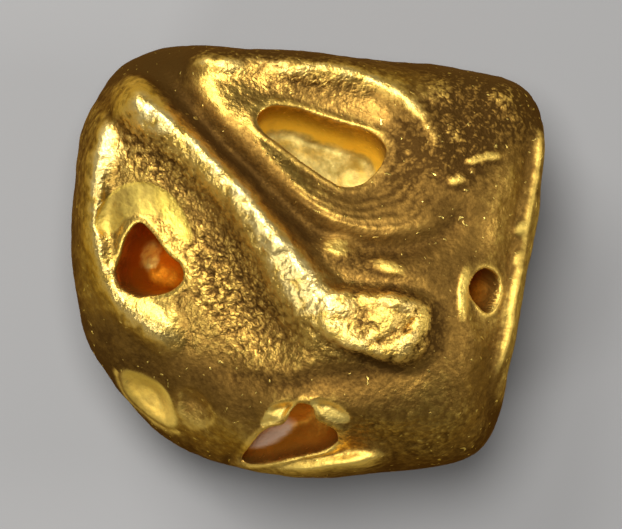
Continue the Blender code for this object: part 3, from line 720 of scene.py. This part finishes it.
def domes(places, spacing, seed, lattice=48):
    """One less the squared distance, in spacings, to the nearest of one random point per cell"""
    cell = np.floor(places / spacing).astype(np.int64)
    points = np.random.default_rng(seed).uniform(0, 1, (lattice, lattice, lattice, 3))
    nearest = np.full(len(places), 4.0)
    for step in np.ndindex(3, 3, 3):
        there = cell + step - (1, 1, 1)
        offset = places / spacing - there - points[tuple((there % lattice).T)]
        nearest = np.minimum(nearest, (offset ** 2).sum(1))
    return 1 - nearest


def layers(texture, rows, **settings):
    """The sum of each layer's height times the texture at its spacing"""
    return sum(height * texture(places, spacing, seed, **settings) for spacing, height, seed in rows)


grain = grainy * layers(domes, GRAINS) + flaky * layers(domes, FLAKES)
grain += within("knob", 0.7, 1.0) * on_skin * layers(domes, FACETS)
grain += layers(uneven, SWELLS, lattice=48)
grain += smooth_step(0.1, 0.5, hollow_share) * layers(uneven, ROUGH_FLOORS)
places = places + normals * grain[:, None]
print("grain, mm:", grain.min().round(3), "to", grain.max().round(3))

# %% [markdown]
# ## Proud and sunken places
#
# The finish makes what stands proud lighter and what is sunken darker. Cycles has a Pointiness output for
# this, but it reads only the nearest points. How proud a point stands is worked out here as how far it
# lies above the average of its neighbours along its normal, over a few rounds of averaging for single
# grains and over many for whole folds.

# %% How proud each point stands
PROUD_GRAIN, PROUD_FOLD = 0.02, 0.10   # mm above the average that count as fully proud

normals = normals_of(places)
proud_fine = ((places - averaged(places, FINE_ROUNDS)) * normals).sum(1)
proud_wide = ((places - averaged(places, WIDE_ROUNDS)) * normals).sum(1)
print("proud, mm:", np.percentile(proud_wide, (5, 95)).round(3))

# %% [markdown]
# ## The mesh and what it carries
#
# A finish could find its zones by height or slope alone, but stain and wear follow neither. So the mesh
# carries one number per point for each zone. The shader can read them as attributes, and they are
# already worked out for the same points.

# %% Make the mesh
def make_piece(name, places, faces):
    """A mesh object at the origin from points in millimetres"""
    mesh = bpy.data.meshes.new(name)
    mesh.from_pydata((places * MM).tolist(), [], faces.tolist())
    mesh.shade_smooth()
    piece = bpy.data.objects.new(name, mesh)
    bpy.context.collection.objects.link(piece)
    return piece


places[:, 2] = np.maximum(places[:, 2] + BASE_DEPTH, 0)
nugget = make_piece("nugget_visual", places, faces)
print("nugget, mm:", np.ptp(places, axis=0).round(2))

# %% What the mesh carries
BOUNCE_ORANGE_BY_HOLLOW = {"left": 1.0, "right": 1.0, "lower": 0.8}  # how much painted orange bounce light each hollow has inside
PAINTED_REFLECTION_OVAL = (-0.95, -4.28, 0.66, 0.27, 28, 1.0)   # an oval on the lower hollow's floor: a painted reflection
LIT_PATCH = (-3.96, 0.18, 0.36, 0.24, 75, 1.0)     # an oval on the left hollow's wall: a painted highlight


def give(name, values):
    """Stores one number per point for the finish to read"""
    layer = nugget.data.attributes.new(name, "FLOAT", "POINT")
    layer.data.foreach_set("value", np.asarray(values, np.float32))


# A painted reflection on the lower hollow's floor
film = oval(places[:, :2], *PAINTED_REFLECTION_OVAL) * (out_of["lower"] < 0.97)
# A painted highlight on the left hollow's wall
lit = oval(places[:, :2], *LIT_PATCH) * (out_of["left"] < 0.95)
# The smooth places' edges and the west pocket's upper side get painted shade, warmed to amber
smooth_edge = np.clip(3 * smooth_metal * (1 - smooth_metal), 0, 1)
trough_edge = smooth_edge * smooth_step(1.6, 1.9, out_of["left"]) * (plan[:, 1] > -2)
pocket_top = within("west", 0.80, 1.0) * smooth_step(-0.1, 0.6, towards(WEST, 0.45, 0.9))
give("hollow", smooth_step(0.0, 0.25, hollow_share))
give("rusty", sum(share * (out_of[name] < 1) for name, share in BOUNCE_ORANGE_BY_HOLLOW.items()))
# The sides are painted darker in the finish: painted shade
give("side", 1 - smooth_step(0.10, 0.75, lean[:, 2]))
# Steep walls, and all of the lower hollow, take the wall colour: painted amber bounce light
give("wall", np.maximum(1 - smooth_step(0.55, 0.75, normals[:, 2]), out_of["lower"] < 1))
# Crests and rubbed places count mostly where they face up: painted highlight on the tops
give("crest", crest * on_skin * (0.3 + 0.7 * facing))
give("rubbed", rubbed * facing)
give("grainy", grainy)
give("smooth", smooth_metal)
give("tarnish", tarnish)
give("golden", golden)
# Slopes that don't face up are painted darker: painted shade
give("flank", (1 - facing) * on_skin * (1 - smooth_metal) * (1 - 0.8 * golden))
give("dull", within("knob", 0.8, 1.1) * smooth_step(0.2, 1.2, plan[:, 0]))
give("film", smooth_step(0.25, 0.55, film))
give("glint", smooth_step(0.3, 0.6, lit))
give("amber", trough_edge + 0.8 * pocket_top)
give("proud_fine", np.clip(proud_fine / PROUD_GRAIN, -1, 1))
give("proud", np.clip(proud_wide / PROUD_FOLD, -1, 1))
CARRIED = ("hollow", "rusty", "side", "wall", "crest", "rubbed", "grainy", "smooth", "tarnish", "golden",
           "flank", "dull", "film", "glint", "amber", "proud_fine", "proud")
print("numbers per point:", len(CARRIED))

# %% [markdown]
# ## The gold
#
# Native gold is nearly pure metal, so its colour is all in its reflections: pale yellow where it is
# rubbed bright, with painted highlights on the crests and tops, brown where iron stain sits in the grain,
# with painted shade on the sides and in the sunken places, and deep orange inside the hollows, painted
# for the light that bounces from gold to gold. A material per zone would show its seams. One shader does
# it all: its base colour is mixed between a few golds by what the points carry, and its roughness
# follows. Noise on object coordinates breaks the zones up, and its finest cells are bent by softer noise,
# because round cells look like beads. The classes below let such a mix be written as plain arithmetic.

# %% Write shader maths as Python
class Wire:
    """A socket in a material, whose + - and * add Math nodes"""

    def __init__(self, finish, socket):
        self.finish, self.socket = finish, socket

    def math(self, operation, first, second, clamp=False):
        """One Math node on two sockets or numbers"""
        node = self.finish.node("ShaderNodeMath", {"operation": operation, "use_clamp": clamp},
                                {0: first, 1: second})
        return self.finish.wire(node, "Value")

    def __add__(self, other):
        return self.math("ADD", self, other)

    def __sub__(self, other):
        return self.math("SUBTRACT", self, other)

    def __rsub__(self, other):
        return self.math("SUBTRACT", other, self)

    def __mul__(self, other):
        return self.math("MULTIPLY", self, other)

    __radd__ = __add__
    __rmul__ = __mul__

    def clamped(self):
        """The same value, but at least 0 and at most 1"""
        return self.math("ADD", self, 0.0, clamp=True)


print("a Wire can:", ", ".join(name for name in vars(Wire) if callable(vars(Wire)[name])))

# %% A material and its nodes
class Finish:
    """A material with one Principled shader, and the ways to add nodes to it"""

    def __init__(self, name):
        self.material = bpy.data.materials.new(name)
        self.material.use_nodes = True
        self.tree = self.material.node_tree
        self.shader = self.tree.nodes["Principled BSDF"]

    def node(self, kind, settings=None, inputs=None):
        """A node of any kind: its settings first, then the values or links of its sockets"""
        node = self.tree.nodes.new(kind)
        for setting, value in (settings or {}).items():
            setattr(node, setting, value)
        for socket, value in (inputs or {}).items():
            self.plug(value, node.inputs[socket])
        return node

    def plug(self, value, socket):
        """Links a wire to a socket, or sets the socket to a plain value"""
        if isinstance(value, Wire):
            self.tree.links.new(value.socket, socket)
        else:
            socket.default_value = value

    def wire(self, node, output):
        """A node's output, to go on with"""
        return Wire(self, node.outputs[output])

    def carried(self, name):
        """A number that the mesh carries at each point"""
        return self.wire(self.node("ShaderNodeAttribute", {"attribute_name": name}), "Fac")

    def noise(self, scale, detail=2.0, roughness=0.5):
        """Soft noise on object coordinates, scale in waves per metre"""
        place = self.wire(self.node("ShaderNodeTexCoord"), "Object")
        node = self.node("ShaderNodeTexNoise", {"noise_dimensions": "3D"}, {
            "Vector": place, "Scale": scale, "Detail": detail, "Roughness": roughness})
        return self.wire(node, "Fac")

    def to_grain(self, scale, bend):
        """Distance to the nearest of one random point per cell, in cells. Scale is in cells per metre,
        and soft noise bends the coordinates by a share of a cell, so that no grain is quite round"""
        place = self.wire(self.node("ShaderNodeTexCoord"), "Object")
        noise = self.node("ShaderNodeTexNoise", {"noise_dimensions": "3D"}, {
            "Vector": place, "Scale": scale * 0.8, "Detail": 1.0})
        bent = self.node("ShaderNodeVectorMath", {"operation": "MULTIPLY_ADD"}, {
            0: self.wire(noise, "Color"), 1: (bend / scale,) * 3, 2: place})
        node = self.node("ShaderNodeTexVoronoi", {"voronoi_dimensions": "3D"}, {
            "Vector": self.wire(bent, "Vector"), "Scale": scale})
        return self.wire(node, "Distance")

    def mix(self, share, first, second):
        """A colour between two, by a share from 0 to 1"""
        node = self.node("ShaderNodeMix", {"data_type": "RGBA"}, {0: share, 6: first, 7: second})
        return Wire(self, node.outputs[2])


print("a Finish can:", ", ".join(name for name in vars(Finish) if callable(vars(Finish)[name])))

# %% The golds
PALE_GOLD = (1.00, 0.76, 0.28, 1)      # rubbed flakes, and painted highlights on the crests and tops
FULL_GOLD = (0.90, 0.58, 0.115, 1)     # clean skin, and skin painted as lit
YELLOW_GOLD = (1.00, 0.74, 0.17, 1)    # lumps and lenses, painted highlights on the sill, the rib and the west pocket's rim, and specks painted as glints
MATT_GOLD = (0.74, 0.55, 0.11, 1)      # the lighter mottles of the smooth places
WORN_GOLD = (0.50, 0.34, 0.07, 1)      # the darker ones
BROWN_GOLD = (0.44, 0.245, 0.048, 1)   # unclean skin, and skin painted in shade
STAIN_AND_SHADE_BROWN = (0.12, 0.060, 0.013, 1)        # iron stain, and painted shade on the sides, the slopes and in the sunken places
FLOOR_GOLD = (0.43, 0.33, 0.085, 1)    # the eye's floor, darker and lighter
FLOOR_PALE = (0.84, 0.69, 0.25, 1)
BOUNCE_AMBER = (1.00, 0.74, 0.12, 1)          # painted bounce light on the eye's wall, and painted shade on the smooth places' edges
BOUNCE_ORANGE = (0.52, 0.18, 0.010, 1)          # painted bounce light in all hollows but the eye
PAINTED_REFLECTION_COLOUR = (0.66, 0.48, 0.34, 1)           # a painted reflection on the lower hollow's floor
LIT_GOLD = (0.96, 0.86, 0.26, 1)       # a painted highlight on the left hollow's wall
EDGE_GOLD = (0.62, 0.36, 0.10, 1)      # what a metal reflects at a glancing angle
GRAIN_CELLS, SPECK_CELLS = 7000, 3300  # cells per metre
BUMP_DEPTH = 0.28                      # mm


def noises(finish):
    """Soft noise from coarse to fine, two sizes of bent cells, and a mottle of the first and the crumbs"""
    blotch, crumb = finish.noise(1400, 3.0), finish.noise(6500, 3.0)
    return SimpleNamespace(
        blotch=blotch, crumb=crumb, flake=finish.noise(2800, 2.0, 0.55), grit=finish.noise(5600, 3.0, 0.55),
        fine=finish.noise(14000, 3.0), to_grain=finish.to_grain(GRAIN_CELLS, 2.2),
        to_speck=finish.to_grain(SPECK_CELLS, 2.0),
        mottle=(0.5 + (blotch - 0.5) * 3.0 + (crumb - 0.5) * 1.5).clamped())


print("cells, mm:", round(1 / GRAIN_CELLS / MM, 2), "and", round(1 / SPECK_CELLS / MM, 2))

# %% [markdown]
# ## Clean, dirty and rubbed, with painted light and shade
#
# On the real nugget two things vary apart from each other: how clean the gold is, and how much stain
# sits in its grain. Each is one sum here, and each also carries painted light: highlights on the crests
# and tops, shade on the sides, the slopes and in the sunken places. What the mesh carries sets the zones,
# and noise breaks their edges up, so that no outline shows as a drawn line. The skin is brown gold where
# it is unclean and where shade is painted, and full gold where it is clean and where light is painted,
# with pale flakes and painted highlights on the crests, yellow on the lumps, and stain and painted shade
# on top.

# %% The skin's colour
def clean_and_lit_share(on, noise):
    """0.3, plus shares for what is proud, crested, rubbed or yellow, partly painted highlight, less shares
    for what is stained and for the painted shade of the sides
    """
    return (0.30 + on.proud * 0.6 + on.proud_fine * 0.3 + on.crest * 0.25 + on.rubbed * 0.5 + on.golden * 0.7
            - on.tarnish * 0.8 - on.side * 0.5 - on.dull * 0.25
            + (noise.blotch - 0.5) * 0.8 + (noise.grit - 0.5) * 1.2
            + (0.42 - noise.to_grain) * 1.2 * on.grainy).clamped()


def dirt_and_shade_share(on, noise, speck):
    """What sits between the grains and flakes, plus what has settled in stained places, plus painted shade
    on the sides, on the slopes that don't face up and in the sunken places
    """
    between = ((0.50 - noise.grit) * 3.0 * (on.grainy * 0.6 + on.crest * 0.2 + on.dull * 0.5 + 0.2)
               + (noise.to_grain - 0.38) * 2.4 * (on.grainy + on.dull * 0.4)
               + (0.43 - noise.flake) * 3.0 * on.crest)
    settled_and_shaded = (on.tarnish * 0.8 + on.side * 0.8 + on.flank * 0.25 + on.dull * 0.22 - 0.1
               - on.proud_fine * 0.5 - on.rubbed * 0.5 - on.golden * 0.4)
    blotchy = (noise.blotch - 0.5) * 0.7 + (noise.fine - 0.5) * 0.5
    return (between + settled_and_shaded + blotchy - speck).clamped() * on.open_skin


def skin_colour(finish, on, noise, speck, dirt_and_shade):
    """Brown to full gold by how clean and how lit it is painted, then pale flakes with painted highlights,
    yellow lumps, specks painted as glints, stain with painted shade, and the smooth places with their
    edges in painted amber shade, each mixed in by its own share"""
    clean_and_lit = clean_and_lit_share(on, noise)
    colour = finish.mix(clean_and_lit, BROWN_GOLD, FULL_GOLD)
    flakes = ((noise.flake - 0.46) * 6.0 + on.rubbed * 0.9).clamped()
    pale = flakes * (on.crest * 0.2 + on.rubbed * 0.8) * clean_and_lit
    colour = finish.mix(pale.clamped(), colour, PALE_GOLD)
    colour = finish.mix((on.golden * clean_and_lit * 0.7 + speck).clamped(), colour, YELLOW_GOLD)
    colour = finish.mix(dirt_and_shade, colour, STAIN_AND_SHADE_BROWN)
    colour = finish.mix(on.smooth, colour, finish.mix(noise.mottle, WORN_GOLD, MATT_GOLD))
    colour = finish.mix(on.smooth * on.golden * (noise.mottle * 0.5 + 0.5), colour, YELLOW_GOLD)
    return finish.mix(on.amber, colour, BOUNCE_AMBER)


print("clean gold against unclean:", [round(full / brown, 1) for full, brown in zip(FULL_GOLD, BROWN_GOLD)])

# %% [markdown]
# ## Inside the hollows
#
# The eye's floor is pale and mottled and its wall is painted amber, while the other hollows are painted
# deep orange. Light that bounces about inside would give some of that by itself, but the renderer's few
# bounces don't, so the bounce light is painted into the colours. Two patches are painted light too: a
# highlight on the left hollow's wall and a reflection on the lower hollow's floor. They are mixed in
# last, and the painted reflection is also less metallic.

# %% The hollows' colour and the fine relief
def hollow_colour(finish, on, noise):
    """A mottled floor and walls in painted amber bounce light, painted orange bounce light in all hollows
    but the eye, and the painted highlight and painted reflection patches
    """
    floor = finish.mix(noise.mottle, FLOOR_GOLD, FLOOR_PALE)
    colour = finish.mix((on.wall + (noise.mottle - 0.5) * 0.4).clamped(), floor, BOUNCE_AMBER)
    colour = finish.mix(on.rusty, colour, BOUNCE_ORANGE)
    colour = finish.mix((on.glint * (noise.mottle + 0.4)).clamped(), colour, LIT_GOLD)
    return finish.mix(on.film, colour, PAINTED_REFLECTION_COLOUR)


def fine_relief(on, noise, speck):
    """Grit, grains, flakes and specks by zone, crumbs wherever it isn't worn, and soft swells on the
    smooth places and in the hollows: all too fine for the mesh"""
    zones = (noise.grit * on.grainy * 0.12 - noise.to_grain * (on.grainy + on.dull * 0.4) * 0.13
             + noise.flake * on.crest * 0.20 + noise.crumb * on.crest * 0.10 + speck * 0.06)
    unworn = (1 - on.side * 0.6) * (1 - on.rubbed * 0.6)
    swells = (noise.blotch * 0.16 + noise.crumb * 0.08) * (on.smooth + on.hollow * 0.8)
    return (zones * on.open_skin + (noise.crumb * 0.12 + noise.fine * 0.02) * on.open_skin * unworn
            + noise.fine * on.grainy * 0.06 + swells)


print("bump, mm:", BUMP_DEPTH)

# %% Put the finish together
def gold():
    """Colour, metalness, roughness and bump, each from what the mesh carries and from noise"""
    finish = Finish("native_gold")
    on = SimpleNamespace(**{name: finish.carried(name) for name in CARRIED})
    on.open_skin = (1 - on.smooth) * (1 - on.hollow)
    noise = noises(finish)
    # Yellow specks: painted glints, with a lower roughness and a small bump of their own
    speck = ((0.16 - noise.to_speck) * 16.0).clamped() * (on.side * 0.6 + on.tarnish * 0.6 + 0.2).clamped()
    dirt_and_shade = dirt_and_shade_share(on, noise, speck)
    skin = skin_colour(finish, on, noise, speck, dirt_and_shade)
    colour = finish.mix(on.hollow, skin, hollow_colour(finish, on, noise))
    finish.plug(colour, finish.shader.inputs["Base Color"])
    # The painted reflection on the lower hollow's floor is made less metallic
    finish.plug(1 - on.film * 0.8, finish.shader.inputs["Metallic"])
    finish.plug(EDGE_GOLD, finish.shader.inputs["Specular Tint"])
    rough = (0.36 + on.hollow * 0.20 + on.smooth * 0.22 + (noise.fine - 0.5) * 0.2 + dirt_and_shade * 0.15
             + on.side * 0.2 + on.tarnish * 0.22 + on.grainy * 0.10 + on.rubbed * 0.05 + on.golden * 0.08
             + on.dull * 0.10 - speck * 0.3)
    finish.plug(rough, finish.shader.inputs["Roughness"])
    bump = finish.node("ShaderNodeBump", {}, {
        "Strength": 1.0, "Distance": BUMP_DEPTH * MM, "Height": fine_relief(on, noise, speck)})
    finish.plug(finish.wire(bump, "Normal"), finish.shader.inputs["Normal"])
    return finish.material


nugget.data.materials.append(gold())
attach(nugget, "root")
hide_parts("nugget")
print("nodes:", len(nugget.data.materials[0].node_tree.nodes))

# %% [markdown]
# ## The table and the lamps
#
# The table is pale and plain. A bright room all round would light it evenly, but gold shows its form by
# what it mirrors, so the room is kept dim and four round lamps do the work. One hangs almost over the
# nugget and one stands lower to the north, so the crests and the dish's upper rim catch the light and
# the south slopes stay brown. Two weak ones, in the east and the southwest, draw the bright lines on
# the right edge and lighten the lower left slopes.

# %% The table
TABLE_HALF = 300           # mm
PAPER = (0.30, 0.295, 0.29, 1)
table_places = np.array([(-1, -1, 0), (1, -1, 0), (1, 1, 0), (-1, 1, 0)], float) * TABLE_HALF
table = make_piece("table", table_places, np.array([[0, 1, 2, 3]]))
table_finish = Finish("table_paper")
table_finish.plug(PAPER, table_finish.shader.inputs["Base Color"])
table_finish.plug(0.8, table_finish.shader.inputs["Roughness"])
table.data.materials.append(table_finish.material)
print("table, mm:", 2 * TABLE_HALF)

# %% The lamps
AIM = np.array((0, 0, 4.0))  # the middle of the nugget, mm above the table
ROOM_LIGHT = 0.05          # strength of the even light from all round
LAMPS = (                  # name, azimuth and elevation in degrees, distance and width in mm, watts
    ("overhead", 110, 78, 160, 75, 0.23), ("north", 120, 40, 160, 80, 0.15),
    ("east", 0, 22, 140, 40, 0.05), ("southwest", 222, 40, 150, 50, 0.05),
)


def aimed(made, place, aim):
    """Puts a lamp or camera at a place in millimetres and turns it to look at another"""
    made.location = Vector(place) * MM
    made.rotation_euler = Vector(aim - place).to_track_quat("-Z", "Y").to_euler()
    bpy.context.collection.objects.link(made)


def lamp(name, azimuth, elevation, away, width, watts):
    """A round lamp at a direction and distance from the nugget, in degrees and millimetres"""
    light = bpy.data.lights.new(name, "AREA")
    light.shape = "DISK"
    light.size = width * MM
    light.energy = watts
    aimed(bpy.data.objects.new(name, light), AIM + unit(azimuth, elevation) * away, AIM)


for row in LAMPS:
    lamp(*row)
world = bpy.data.worlds.new("room")
world.use_nodes = True
world.node_tree.nodes["Background"].inputs["Color"].default_value = (1, 0.99, 0.98, 1)
world.node_tree.nodes["Background"].inputs["Strength"].default_value = ROOM_LIGHT
bpy.context.scene.world = world
bpy.context.scene.view_settings.view_transform = "Standard"
print("lamps:", len(bpy.data.lights))

# %% [markdown]
# ## The camera
#
# The picture was taken from straight above, close to the nugget. A short lens would show more of its
# sides, so a long one is used from further away. Its distance follows from the lens and from how many
# millimetres the picture spans at the height of the nugget's widest outline.

# %% The camera
PICTURE_WIDTH = 622        # pixels
MM_PER_PIXEL = 12.0 / 476  # the nugget's length over its length in the picture
LENS, SENSOR = 500, 36     # mm
WIDEST = 3.0               # height of the nugget's widest outline above the table, mm
CENTRE = (0.075, -0.05)    # the place in plan that the picture is centred on, mm
camera = bpy.data.cameras.new("camera")
camera.lens, camera.sensor_width = LENS, SENSOR
camera.clip_start = 0.001
view = bpy.data.objects.new("camera", camera)
away = LENS * PICTURE_WIDTH * MM_PER_PIXEL / SENSOR
aimed(view, np.array((*CENTRE, WIDEST + away)), np.array((*CENTRE, 0)))
view.rotation_euler = (0, 0, 0)   # straight down, with north at the top
bpy.context.scene.camera = view
print("camera, mm above the table:", round(WIDEST + away, 1))

# %% [markdown]
# ## The sizes
#
# The grain must not make the nugget any bigger than its solid.
